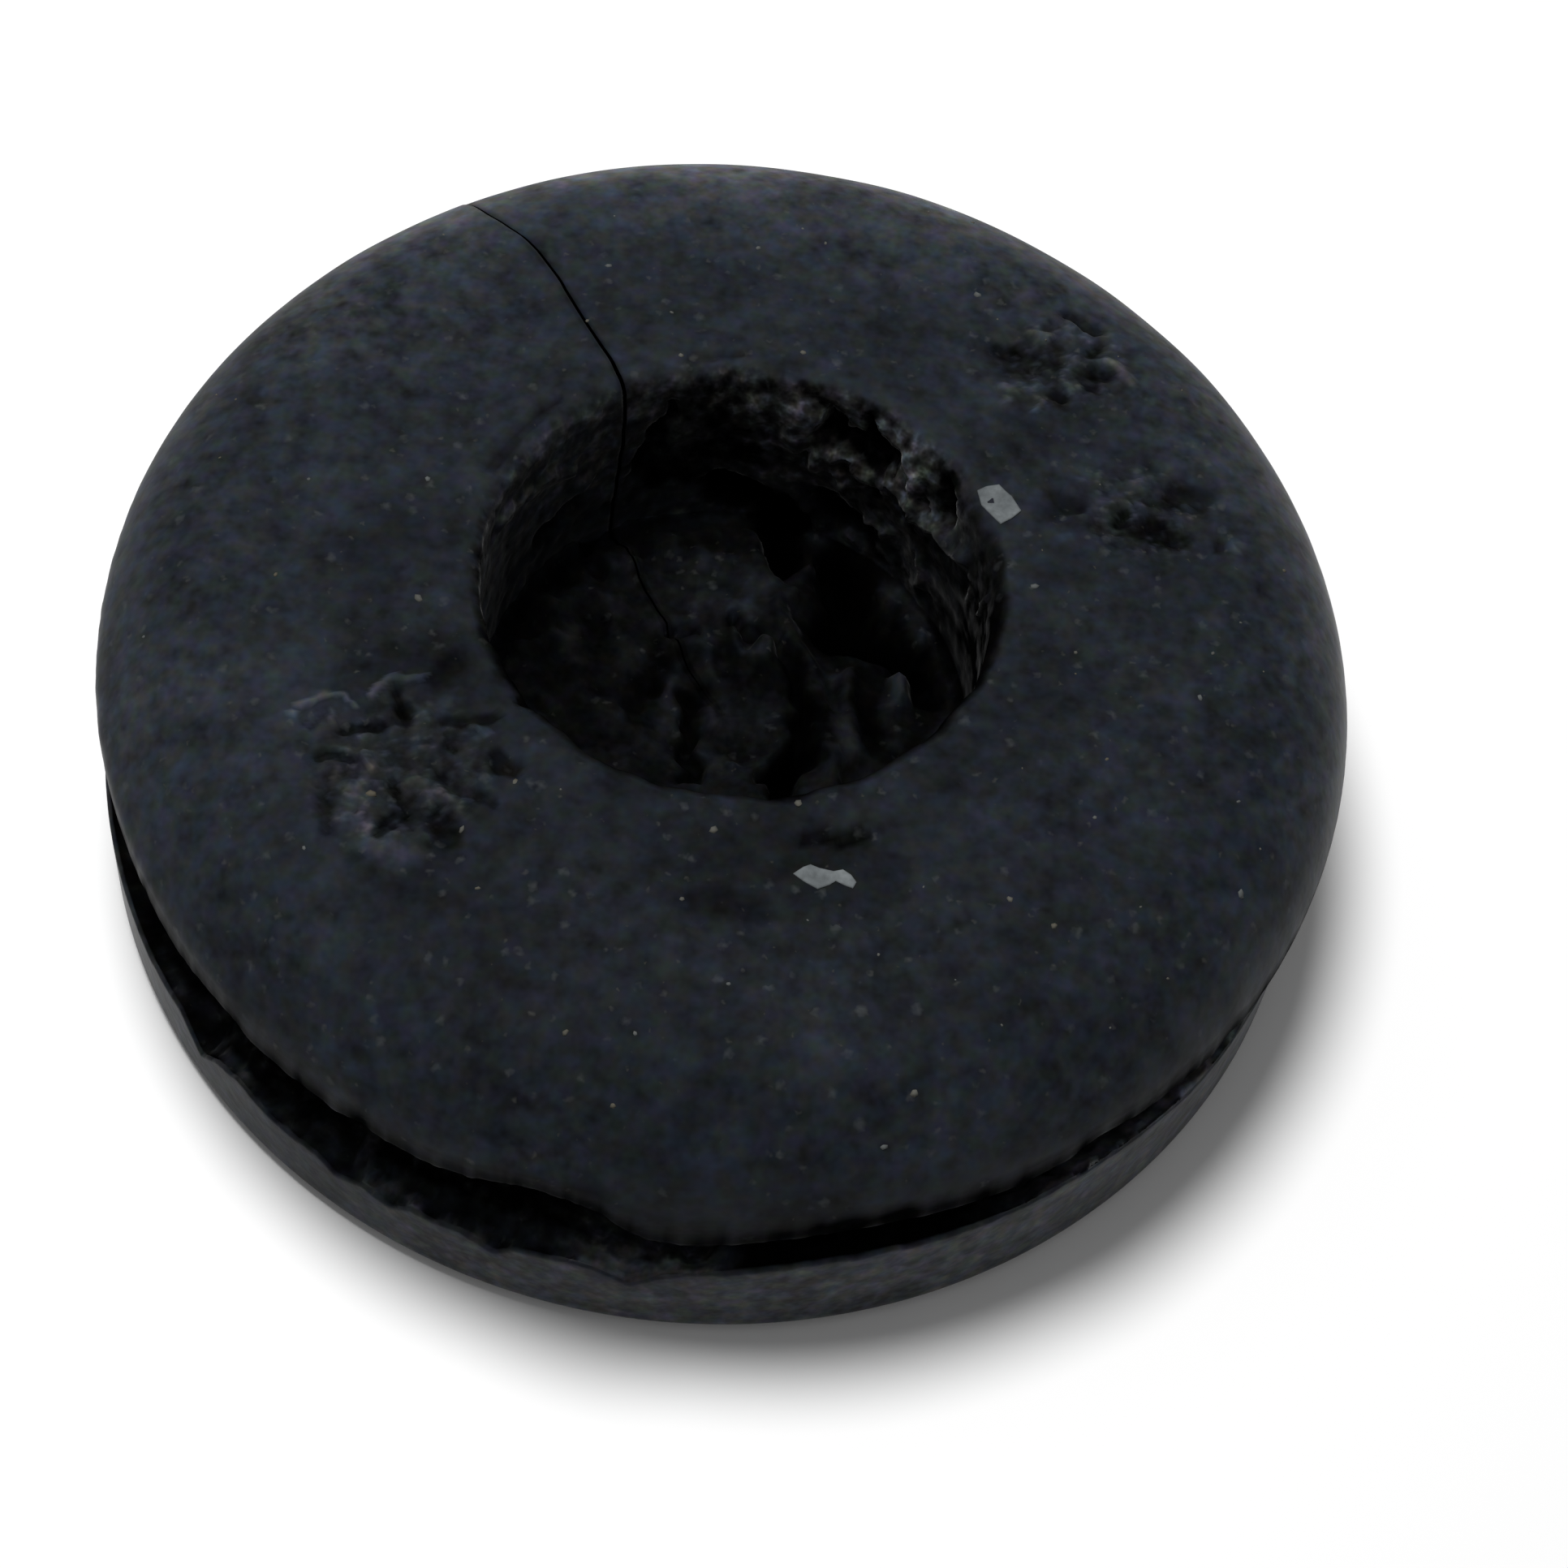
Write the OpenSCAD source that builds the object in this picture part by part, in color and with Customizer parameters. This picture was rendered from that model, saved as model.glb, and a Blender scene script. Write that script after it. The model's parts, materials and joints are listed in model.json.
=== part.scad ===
// Split rubber grommet with a closed web: one moulding that seats in a round hole in a panel.
// Millimetres, +Z up. The origin is on the axis, at the foot of the lower flange.
// The hole opens upwards. The split runs from the middle of the web out through the rim.

/* [Flanges] */
// Outer diameter of the upper flange
upper_d = 20; // [17:0.5:28]
// Thickness of the upper flange, from the groove to the top of its crown
upper_t = 2.7; // [2:0.1:4]
// Radius of the upper flange's rounded outer edge, as far as its thickness allows
upper_edge_r = 2.3; // [0.6:0.1:2.8]
// Least height of the square lip that the rounded edge leaves above the groove
upper_lip = 0.1; // [0.05:0.05:0.5]
// Height that the top face rises from the rim's level to the axis
crown_h = 0.3; // [0.1:0.05:0.5]
// Outer diameter of the lower flange
lower_d = 20; // [17:0.5:28]
// Thickness of the lower flange
lower_t = 2; // [1.4:0.1:4]
// Radius of the lower flange's rounded outer edge
lower_edge_r = 0.8; // [0.3:0.1:1.2]

/* [Panel groove] */
// Width of the groove, which takes the panel's thickness
groove_w = 1.3; // [0.8:0.1:4]
// Diameter of the neck, which fills the panel's hole
neck_d = 14; // [11.5:0.5:16.5]

/* [Hole and web] */
// Diameter of the hole
bore_d = 8; // [5:0.5:10]
// Radius of the rounded edge at the hole's mouth
mouth_r = 0.25; // [0.1:0.05:0.4]
// Thickness of the web that closes the foot of the hole
web_t = 2.2; // [1.6:0.1:3]
// Diameter of the pit that is torn in the middle of the web
pit_d = 3.2; // [1.5:0.1:4.5]
// Depth of the pit below the web's upper face
pit_depth = 1.2; // [0.3:0.1:1.4]

/* [Split] */
// Direction of the split, anticlockwise from +X
split_angle = 124; // [0:1:359]
// Width of the split in the middle of the web
split_w_inner = 0.2; // [0.1:0.05:0.4]
// Width of the split just outside the rim
split_w_outer = 0.1; // [0.05:0.05:0.4]

/* [Hidden] */

$fn = 128;
clear = 1; // How far a cutting shape runs past what it cuts
blend = 0.01; // How far a round edge stands into the crown, so that the two cross cleanly

upper_r = upper_d / 2;
lower_r = lower_d / 2;
bore_r = bore_d / 2;
groove_top = lower_t + groove_w;
height = groove_top + upper_t;
split_reach = max(upper_r, lower_r) + clear;

// The crown is a cap of a large sphere, centred on the axis
crown_r = (upper_r * upper_r + crown_h * crown_h) / (2 * crown_h);
crown_z = height - crown_r;
crown_fn = 1440;

// Height of the crown at a distance r from the axis
function crown_at(r) = crown_z + sqrt(crown_r * crown_r - r * r);

edge_r = min(upper_edge_r, upper_t - crown_h - upper_lip);
edge_x = upper_r - edge_r;
edge_z = crown_at(edge_x) - edge_r + blend;
mouth_x = bore_r + mouth_r;
mouth_z = crown_at(mouth_x) - mouth_r + blend;

// Each section is drawn with X as the distance from the axis and Y as the height

// Upper flange: its round edge runs into the crown above and into the groove's lip below
module upper_section() {
    intersection() {
        translate([0, crown_z]) circle(r = crown_r, $fn = crown_fn);
        translate([0, groove_top]) square([upper_r, upper_t]);
        union() {
            translate([0, groove_top]) square([edge_x, upper_t]);
            translate([0, groove_top]) square([upper_r, edge_z - groove_top]);
            translate([edge_x, edge_z]) circle(r = edge_r);
        }
    }
}

// Lower flange: rounded where it rests, square at the groove's lip
module lower_section() {
    square([lower_r - lower_edge_r, lower_t]);
    translate([0, lower_edge_r]) square([lower_r, lower_t - lower_edge_r]);
    translate([lower_r - lower_edge_r, lower_edge_r]) circle(r = lower_edge_r);
}

module neck_section() {
    translate([0, lower_t - clear / 2]) square([neck_d / 2, groove_w + clear]);
}

// Hole with its rounded mouth, and the pit in its web
module hole_section() {
    translate([0, web_t]) square([bore_r, height]);
    translate([0, web_t - pit_depth]) square([pit_d / 2, height]);
    difference() {
        translate([0, mouth_z]) square([mouth_x, height]);
        translate([mouth_x, mouth_z]) circle(r = mouth_r);
    }
}

// Narrow wedge that opens towards the axis, through the whole height
module split() {
    rotate([0, 0, split_angle])
        translate([0, 0, -clear])
            linear_extrude(height = height + 2 * clear)
                polygon([
                    [0, -split_w_inner / 2],
                    [split_reach, -split_w_outer / 2],
                    [split_reach, split_w_outer / 2],
                    [0, split_w_inner / 2]
                ]);
}

module grommet() {
    color([0.11, 0.12, 0.14])
        difference() {
            rotate_extrude()
                difference() {
                    union() {
                        upper_section();
                        neck_section();
                        lower_section();
                    }
                    hole_section();
                }
            split();
        }
}

grommet();
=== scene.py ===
import json
import math
import random

import bmesh
import bpy
import numpy as np
from mathutils import Matrix, Vector, noise
from mathutils.bvhtree import BVHTree


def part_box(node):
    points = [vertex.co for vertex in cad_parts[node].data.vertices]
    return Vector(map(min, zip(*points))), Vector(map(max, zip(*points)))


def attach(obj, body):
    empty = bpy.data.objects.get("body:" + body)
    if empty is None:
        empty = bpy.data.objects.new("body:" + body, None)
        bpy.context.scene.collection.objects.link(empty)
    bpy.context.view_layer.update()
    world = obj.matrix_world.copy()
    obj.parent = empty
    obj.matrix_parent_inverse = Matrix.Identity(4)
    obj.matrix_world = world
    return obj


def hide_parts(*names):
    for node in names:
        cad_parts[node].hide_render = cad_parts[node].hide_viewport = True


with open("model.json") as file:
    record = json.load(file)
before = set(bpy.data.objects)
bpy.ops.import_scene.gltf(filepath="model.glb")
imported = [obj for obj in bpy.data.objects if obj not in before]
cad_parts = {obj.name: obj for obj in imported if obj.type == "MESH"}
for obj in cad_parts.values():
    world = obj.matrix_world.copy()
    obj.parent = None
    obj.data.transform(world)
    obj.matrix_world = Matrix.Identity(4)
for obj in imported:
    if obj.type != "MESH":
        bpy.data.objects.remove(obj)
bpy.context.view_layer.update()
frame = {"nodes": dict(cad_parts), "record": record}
mm = 0.001


# Sizes that the frame already holds, read back from its mesh and mounts

def levelsAt(radius):
    points = [v.co for v in frame["nodes"]["grommet"].data.vertices]
    return sorted({round(p.z, 6) for p in points if abs(math.hypot(p.x, p.y) - radius) < 1e-6})


def neckRadius(low, high):
    points = [v.co for v in frame["nodes"]["grommet"].data.vertices]
    return min(math.hypot(p.x, p.y) for p in points if abs(p.z - low) < 1e-6 or abs(p.z - high) < 1e-6)


mounts = {m["name"]: m for m in frame["record"]["mounts"]}
_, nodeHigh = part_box("grommet")
rimRadius = nodeHigh.x
topHeight = nodeHigh.z
boreRadius = mounts["cable_bore"]["dims"]["r_mm"] * mm
_, grooveLow, grooveHigh, edgeStart = levelsAt(rimRadius)
floorHeight = levelsAt(boreRadius)[0]
neck = neckRadius(grooveLow, grooveHigh)
print("frame read: groove", grooveLow, grooveHigh, "edge", edgeStart, "web", floorHeight, "neck", neck)


# Camera

view = {
    "aim": (1.17 * mm, 0.23 * mm, 0),
    "distance": 55 * mm,
    "elevation": 56.8,
    "roll": 8.15,
    "lens": 74.14,
}


def makeCamera():
    elevation = math.radians(view["elevation"])
    back = Vector((0, -math.cos(elevation), math.sin(elevation)))
    across = Vector((1, 0, 0))
    turned = Matrix.Rotation(math.radians(view["roll"]), 3, back)
    right = turned @ across
    up = back.cross(right)
    data = bpy.data.cameras.new("camera")
    data.lens = view["lens"]
    data.sensor_width = 36
    data.clip_start = 1 * mm
    data.clip_end = 10
    camera = bpy.data.objects.new("camera", data)
    bpy.context.scene.collection.objects.link(camera)
    place = Matrix((right, up, back)).transposed().to_4x4()
    place.translation = Vector(view["aim"]) + back * view["distance"]
    camera.matrix_world = place
    bpy.context.scene.camera = camera


makeCamera()
print("camera placed")


# The moulding. Its section is drawn, rounded and cut finely, then spun from one side of the split round to
# the other

form = {
    "topEdgeRound": 2.3 * mm,
    "footRound": 0.4 * mm,
    "lipRound": 0.12 * mm,
    "mouthRound": 0.3 * mm,
    "crown": 0.3 * mm,
    "pitRadius": 1.6 * mm,
    "pitDepth": 1.2 * mm,
    "splitAngle": 124.0,
    "splitOpening": 0.6,
    "spinSteps": 60,
    "cutsEach": 6,
    "mergeReach": 2e-7,
    "levelTop": 5.88,  # marks that stand higher are pressed down, so that the box keeps its height
    "splitInset": 0.02 * mm,
    "footCut": 1.6 * mm,
    "holeCut": 0.11 * mm,
    "topCut": 0.14 * mm,
    "rimCut": 0.12 * mm,
    "lipCut": 0.25 * mm,
    "plainCut": 0.5 * mm,
}


def cutLength(middle):
    if middle.z < 0.05 * mm:
        return form["footCut"]
    if middle.x < boreRadius + 0.02 * mm:
        return form["holeCut"]
    if middle.z > edgeStart:
        return form["topCut"]
    if middle.x > rimRadius - 0.02 * mm:
        return form["rimCut"]
    if abs(middle.z - grooveLow) < 0.01 * mm:
        return form["lipCut"]
    return form["plainCut"]


def drawSection(bm):
    pitFloor = floorHeight - form["pitDepth"]
    corners = [
        (0, 0, 0, 0),
        (rimRadius, 0, form["footRound"], 8),
        (rimRadius, grooveLow, form["lipRound"], 3),
        (neck, grooveLow, form["lipRound"], 2),
        (neck, grooveHigh, form["lipRound"], 2),
        (rimRadius, grooveHigh, form["lipRound"], 3),
        (rimRadius, topHeight, form["topEdgeRound"], 26),
        (boreRadius, topHeight, form["mouthRound"], 5),
        (boreRadius, floorHeight, form["mouthRound"], 4),
        (form["pitRadius"], floorHeight, form["lipRound"], 2),
        (form["pitRadius"], pitFloor, form["mouthRound"], 3),
        (0, pitFloor, 0, 0),
    ]
    verts = [bm.verts.new((radius, 0, height)) for radius, height, _, _ in corners]
    bm.faces.new(verts)
    for vert, (_, _, rounding, segments) in zip(verts, corners):
        if rounding:
            bmesh.ops.bevel(bm, geom=[vert], offset=rounding, offset_type="OFFSET", segments=segments,
                            profile=0.5, affect="VERTICES", material=-1)
    for edge in list(bm.edges):
        middle = (edge.verts[0].co + edge.verts[1].co) / 2
        cuts = math.ceil(edge.calc_length() / cutLength(middle)) - 1
        onAxis = middle.x < 1e-7
        if cuts > 0 and not onAxis:
            bmesh.ops.subdivide_edges(bm, edges=[edge], cuts=cuts)
    for vert in bm.verts:
        if vert.co.z > grooveHigh + form["lipRound"]:
            share = (vert.co.z - grooveHigh) / (topHeight - grooveHigh)
            vert.co.z -= form["crown"] * share * (vert.co.x / rimRadius) ** 2


def markSection(bm):
    outward = bm.verts.layers.float_vector.new("outward")  # (away from the axis, 0, up)
    reach = bm.verts.layers.float.new("reach")  # distance from the axis
    face = bm.faces[:][0]
    turn = 1 if face.normal.y < 0 else -1
    for loop in face.loops:
        along = loop.link_loop_next.vert.co - loop.link_loop_prev.vert.co
        loop.vert[outward] = Vector((along.z, 0, -along.x)).normalized() * turn
        loop.vert[reach] = loop.vert.co.x


def runsAcross(edge):
    first, second = (vert.co for vert in edge.verts)
    reach = math.hypot(*first.xy)
    return abs(reach - math.hypot(*second.xy)) < 1e-8 + reach * 1e-5 and abs(first.z - second.z) < 1e-8


def splitFaces(bm):
    return [face for face in bm.faces if len(face.verts) > 20]


def markInside(bm):
    reach = bm.verts.layers.float["reach"]
    inside = bm.verts.layers.float.new("inside")  # 1 on the faces inside the split
    caps = splitFaces(bm)
    bmesh.ops.inset_region(bm, faces=caps, thickness=form["splitInset"], use_even_offset=False)
    for vert in {vert for face in caps for vert in face.verts}:
        vert[inside] = 1
        vert[reach] = math.hypot(*vert.co.xy)


def spinMoulding():
    bm = bmesh.new()
    drawSection(bm)
    bm.normal_update()
    markSection(bm)
    start = math.radians(form["splitAngle"] + form["splitOpening"] / 2)
    sweep = math.radians(360 - form["splitOpening"])
    bmesh.ops.rotate(bm, verts=bm.verts[:], matrix=Matrix.Rotation(start, 3, "Z"), cent=(0, 0, 0))
    bmesh.ops.spin(bm, geom=bm.verts[:] + bm.edges[:] + bm.faces[:], axis=(0, 0, 1), cent=(0, 0, 0),
                   angle=sweep, steps=form["spinSteps"], use_merge=False)
    bmesh.ops.remove_doubles(bm, verts=bm.verts[:], dist=form["mergeReach"])
    markInside(bm)
    across = [edge for edge in bm.edges if runsAcross(edge)]
    bmesh.ops.subdivide_edges(bm, edges=across, cuts=form["cutsEach"], use_grid_fill=True)
    reach = bm.verts.layers.float["reach"]
    for vert in bm.verts:  # the cuts lie on chords, so each point goes back out to its circle
        spread = math.hypot(*vert.co.xy)
        if spread > 0:
            vert.co.x *= vert[reach] / spread
            vert.co.y *= vert[reach] / spread
    bmesh.ops.recalc_face_normals(bm, faces=bm.faces[:])
    return bm


def newPiece(name, bm):
    mesh = bpy.data.meshes.new(name)
    bm.to_mesh(mesh)
    bm.free()
    for polygon in mesh.polygons:
        polygon.use_smooth = True
    piece = bpy.data.objects.new(name, mesh)
    bpy.context.scene.collection.objects.link(piece)
    return piece


moulding = spinMoulding()
print("moulding spun:", len(moulding.verts), "points,", len(moulding.faces), "faces")


# Marks of use and patches of tone on the top. Each stroke is (height, width, points) in millimetres, and a
# single point is a dab.

crumpledPatch = [
    (0.10, 0.05, [(-6.2, -3.75), (-6.18, -3.5), (-6.02, -3.28), (-5.8, -3.16), (-5.55, -3.14),
                  (-5.35, -3.3)]),
    (0.06, 0.04, [(-6.0, -3.8), (-5.95, -3.55), (-5.8, -3.4)]),
    (0.06, 0.05, [(-5.72, -3.4), (-5.6, -3.52), (-5.55, -3.68)]),
    (0.11, 0.065, [(-5.1, -3.05), (-5.0, -2.82), (-4.85, -2.7), (-4.62, -2.72), (-4.4, -2.58)]),
    (0.10, 0.06, [(-5.05, -4.05), (-4.98, -4.2), (-4.88, -4.35)]),
    (0.06, 0.05, [(-5.5, -4.03), (-5.3, -4.08)]),
    (0.10, 0.30, [(-5.05, -4.75), (-4.95, -5.2)]),
    (0.08, 0.12, [(-4.25, -4.45), (-3.9, -4.62), (-3.5, -4.9)]),
    (0.07, 0.06, [(-3.5, -3.35), (-3.3, -3.52)]),
    (0.06, 0.07, [(-4.0, -3.66)]),
    (0.06, 0.07, [(-4.2, -3.86)]),
    (0.09, 0.34, [(-4.5, -5.55), (-4.2, -5.7)]),
    (0.05, 0.08, [(-3.4, -4.72)]),
    (-0.14, 0.11, [(-4.75, -2.95), (-4.65, -3.15), (-4.55, -3.4)]),
    (-0.08, 0.26, [(-4.05, -2.35), (-4.15, -2.6)]),
    (-0.09, 0.13, [(-5.8, -3.48), (-5.95, -3.65)]),
    (-0.12, 0.09, [(-5.42, -3.76), (-5.15, -3.64), (-4.9, -3.6)]),
    (-0.14, 0.09, [(-5.72, -4.25), (-5.45, -4.15), (-5.2, -4.2)]),
    (-0.07, 0.10, [(-5.6, -4.5), (-5.5, -4.9), (-5.4, -5.3), (-5.35, -5.5)]),
    (-0.09, 0.11, [(-4.55, -4.5), (-4.45, -4.7), (-4.3, -4.95)]),
    (-0.13, 0.11, [(-4.3, -5.0), (-4.45, -5.25), (-4.6, -5.45)]),
    (-0.12, 0.22, [(-3.7, -5.0), (-3.55, -5.3)]),
    (-0.10, 0.10, [(-4.0, -3.35), (-3.6, -3.3), (-3.3, -3.2)]),
    (-0.10, 0.10, [(-3.8, -3.8)]),
    (-0.14, 0.13, [(-3.12, -3.82), (-3.0, -4.0), (-2.85, -4.05)]),
    (-0.09, 0.09, [(-3.9, -4.35), (-3.78, -4.4)]),
    (-0.08, 0.09, [(-3.6, -4.5), (-3.2, -4.6), (-3.0, -4.7)]),
    (-0.06, 0.12, [(-4.85, -5.85)]),
]
upperDent = [
    (0.08, 0.15, [(4.2, 5.85), (4.45, 5.9)]),
    (0.07, 0.10, [(3.8, 4.65), (3.95, 4.6)]),
    (0.09, 0.10, [(3.85, 4.36)]),
    (0.08, 0.09, [(4.35, 4.85), (4.35, 5.0)]),
    (0.06, 0.09, [(4.87, 4.9)]),
    (0.08, 0.06, [(4.33, 4.25), (4.45, 4.45)]),
    (0.06, 0.07, [(4.9, 6.2)]),
    (0.07, 0.09, [(4.7, 5.2), (4.87, 5.35), (4.95, 5.5)]),
    (0.08, 0.10, [(5.4, 5.55), (5.7, 5.45), (5.88, 5.15)]),
    (-0.20, 0.12, [(4.75, 6.55), (4.95, 6.45), (5.1, 6.3), (5.25, 6.33)]),
    (-0.12, 0.11, [(5.32, 5.95), (5.2, 5.7)]),
    (-0.11, 0.14, [(3.68, 5.52), (3.9, 5.48)]),
    (-0.10, 0.42, [(3.75, 5.3), (4.3, 5.25)]),
    (-0.14, 0.18, [(5.28, 5.3), (5.45, 5.28)]),
    (-0.11, 0.12, [(5.2, 4.95), (5.32, 4.95)]),
    (-0.07, 0.09, [(5.55, 4.95)]),
    (-0.09, 0.16, [(4.75, 4.7)]),
    (-0.08, 0.13, [(4.6, 5.5), (4.57, 5.8)]),
    (-0.07, 0.12, [(4.42, 6.2)]),
    (-0.06, 0.12, [(5.87, 5.95), (5.85, 5.8)]),
]
lowerDent = [
    (0.06, 0.07, [(5.15, 3.0)]),
    (0.06, 0.05, [(5.47, 3.12)]),
    (0.06, 0.05, [(5.95, 2.68), (6.0, 2.5)]),
    (0.08, 0.06, [(6.85, 2.83), (6.97, 2.83)]),
    (0.05, 0.08, [(6.85, 2.5)]),
    (0.07, 0.08, [(5.25, 2.15)]),
    (0.06, 0.07, [(5.6, 2.15), (5.72, 2.14)]),
    (0.05, 0.12, [(5.05, 1.75)]),
    (0.07, 0.05, [(7.78, 2.22), (7.66, 2.1)]),
    (0.05, 0.07, [(6.9, 1.9)]),
    (0.05, 0.06, [(7.1, 1.4)]),
    (-0.15, 0.30, [(6.35, 2.2), (6.75, 2.2)]),
    (-0.12, 0.13, [(5.9, 2.4), (5.85, 2.1)]),
    (-0.17, 0.3, [(6.8, 3.05), (7.1, 3.0)]),
    (-0.12, 0.18, [(4.85, 2.55), (5.1, 2.4)]),
    (-0.10, 0.09, [(7.53, 2.22), (7.5, 2.0)]),
    (-0.06, 0.25, [(4.8, 2.2)]),
    (-0.08, 0.16, [(6.15, 2.8), (6.6, 2.85)]),
    (-0.06, 0.10, [(7.55, 2.85)]),
    (-0.06, 0.14, [(6.3, 3.45)]),
    (-0.06, 0.12, [(5.6, 2.9)]),
]
tonePatches = [  # (shade, width, points): shade is in doublings of the rubber's tone
    (-0.45, 1.0, [(-3.2, 5.2), (-1.5, 5.9)]),
    (-0.3, 0.9, [(1.6, 6.0), (2.6, 5.8)]),
    (-0.5, 0.8, [(5.0, 4.2)]),
    (-0.5, 0.9, [(6.2, 1.7)]),
    (-0.3, 0.6, [(4.9, 1.0)]),
    (-0.7, 0.9, [(-3.8, -6.7), (-2.6, -7.0)]),
    (-0.55, 0.9, [(-0.8, -8.0), (0.5, -8.2)]),
    (-0.5, 0.7, [(0.8, -4.9), (1.9, -5.1)]),
    (-0.35, 0.6, [(5.5, -6.2), (3.6, -6.8)]),
    (-0.3, 0.7, [(-7.2, -2.1)]),
    (-0.45, 0.5, [(-5.4, -2.9), (-4.4, -2.2)]),
    (1.05, 0.9, [(-5.6, 7.3)]),
    (0.15, 0.7, [(-6.7, 5.2), (-5.4, 4.6)]),
    (0.3, 0.7, [(-8.6, 0.3)]),
    (-0.5, 0.6, [(4.3, 5.9), (5.2, 5.3)]),
    (-0.45, 0.7, [(7.3, 1.5)]),
    (-0.25, 0.7, [(8.5, -3.2)]),
    (-0.25, 1.1, [(5.4, 5.9), (5.9, 3.9)]),
    (-0.3, 0.9, [(-7.8, -4.4), (-5.2, -5.8)]),
    (-0.2, 0.8, [(7.4, 3.0), (6.2, 1.6)]),
    (-0.15, 0.9, [(1.0, 6.9), (2.4, 6.6)]),
    (-0.25, 0.8, [(-3.9, 6.2), (-2.2, 6.6)]),
    (-0.15, 0.9, [(7.6, 2.2), (7.3, -0.6)]),
    (0.25, 0.6, [(-5.7, 2.8)]),
    (0.3, 0.8, [(-1.6, -5.6)]),
    (-0.5, 0.55, [(-5.5, 0.2)]),
    (0.3, 0.8, [(-7.2, -5.2), (-8.3, -3.4)]),
    (0.3, 0.9, [(-7.3, 4.4), (-8.4, 2.4)]),
    (0.35, 0.8, [(-3.2, 8.6), (-1.6, 8.7)]),
    (0.3, 0.6, [(2.1, 8.8)]),
    (0.6, 0.5, [(-4.7, -1.4)]),
    (0.3, 0.4, [(4.2, 2.8)]),
]
dimples = [
    (-0.12, 0.13, [(1.6, -4.5), (2.45, -4.34)]),
    (-0.06, 0.28, [(0.25, -5.85), (1.1, -5.8)]),
    (-0.10, 0.10, [(-2.95, -2.85), (-2.7, -2.6)]),
    (-0.09, 0.16, [(-1.3, 4.25), (-0.6, 4.4)]),
    (-0.09, 0.14, [(-3.3, 2.95), (-3.8, 2.2), (-4.1, 1.5)]),
]
# Painted light and shade by direction in degrees: near the hole, near the rim and on the rim's round
# Darker towards the front near the hole; the rim and its round lighter towards the back and sides, a painted
# sheen
topShade = [(0, -0.1), (40, 0.1), (90, 0.0), (130, 0.2), (170, 0.0), (200, -0.35), (240, -0.25),
            (270, -0.35), (300, -0.35), (330, -0.2), (360, -0.1)]
rimShade = [(0, 0.4), (40, 1.1), (90, 1.2), (130, 0.8), (145, 0.7), (180, 0.3), (205, 0.55), (240, 0.1),
            (270, -0.05), (300, 0.05), (330, 0.0), (360, 0.4)]
edgeShade = [(0, 0.8), (40, 1.0), (90, 1.8), (140, 1.1), (180, 0.35), (225, 0.0), (320, 0.2), (360, 0.8)]
roughPlaces = [((-4.5, -4.3), 1.7), ((4.75, 5.4), 1.35), ((6.2, 2.5), 1.3)]  # (centre, radius)
topWear = {
    "wander": 0.07,  # how far the strokes stray
    "strokes": 0.75,  # share of their height that is kept
    "grit": 0.06,
    "crumbs": 0.03,
    "waves": 0.02,
    # Tone per millimetre of a mark's height: ridges lighter, hollows darker as painted shade
    "ridgeTone": 15,
    "hollowPaintedShade": 10,
    "toneLimit": 1.5,
    "crumbled": 0.36,
}

# The torn web at the foot of the hole, in the same way
webTears = [
    (-1.1, 0.34, [(0.3, 4.1), (0.6, 3.5)]),
    (-1.1, 0.42, [(1.5, 3.3), (1.7, 2.7), (1.85, 2.1)]),
    (-0.8, 0.24, [(2.2, 1.9), (2.6, 1.6), (2.95, 1.4)]),
    (-0.4, 0.2, [(3.15, 1.5), (3.3, 1.0)]),
    (-0.4, 0.15, [(1.05, 1.0), (1.35, 0.2), (1.35, -0.6)]),
    (-1.1, 0.27, [(1.3, -0.8), (1.1, -1.2)]),
    (0.35, 0.28, [(2.6, 3.2), (3.0, 2.4), (3.15, 2.0)]),
    (0.35, 0.26, [(1.1, 4.0), (1.0, 3.3)]),
    (0.45, 0.22, [(2.75, 0.85), (2.9, 0.75)]),
    (0.25, 0.2, [(1.95, 0.9), (2.0, 0.1), (2.15, -0.5)]),
    (-0.15, 0.14, [(-1.2, 0.6), (-1.35, 0.3), (-1.5, -0.1)]),
    (-0.3, 0.14, [(-0.6, 0.4), (-0.5, -0.4), (-0.4, -1.3)]),
    (-0.35, 0.09, [(-0.95, 1.52), (-0.62, 1.5)]),
    (-0.4, 0.10, [(0.08, 1.72), (0.35, 1.5), (0.62, 1.45), (0.9, 1.15)]),
    (-0.3, 0.10, [(-2.45, 3.5), (-2.5, 2.9)]),
    (0.15, 0.16, [(-0.75, 1.25), (-0.4, 1.15)]),
    (0.15, 0.16, [(0.15, 1.35), (0.55, 1.2)]),
    (0.12, 0.14, [(-0.25, 0.1)]),
    (0.12, 0.10, [(0.3, -0.85)]),
    (0.10, 0.25, [(-0.3, 0.8)]),
]
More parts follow.
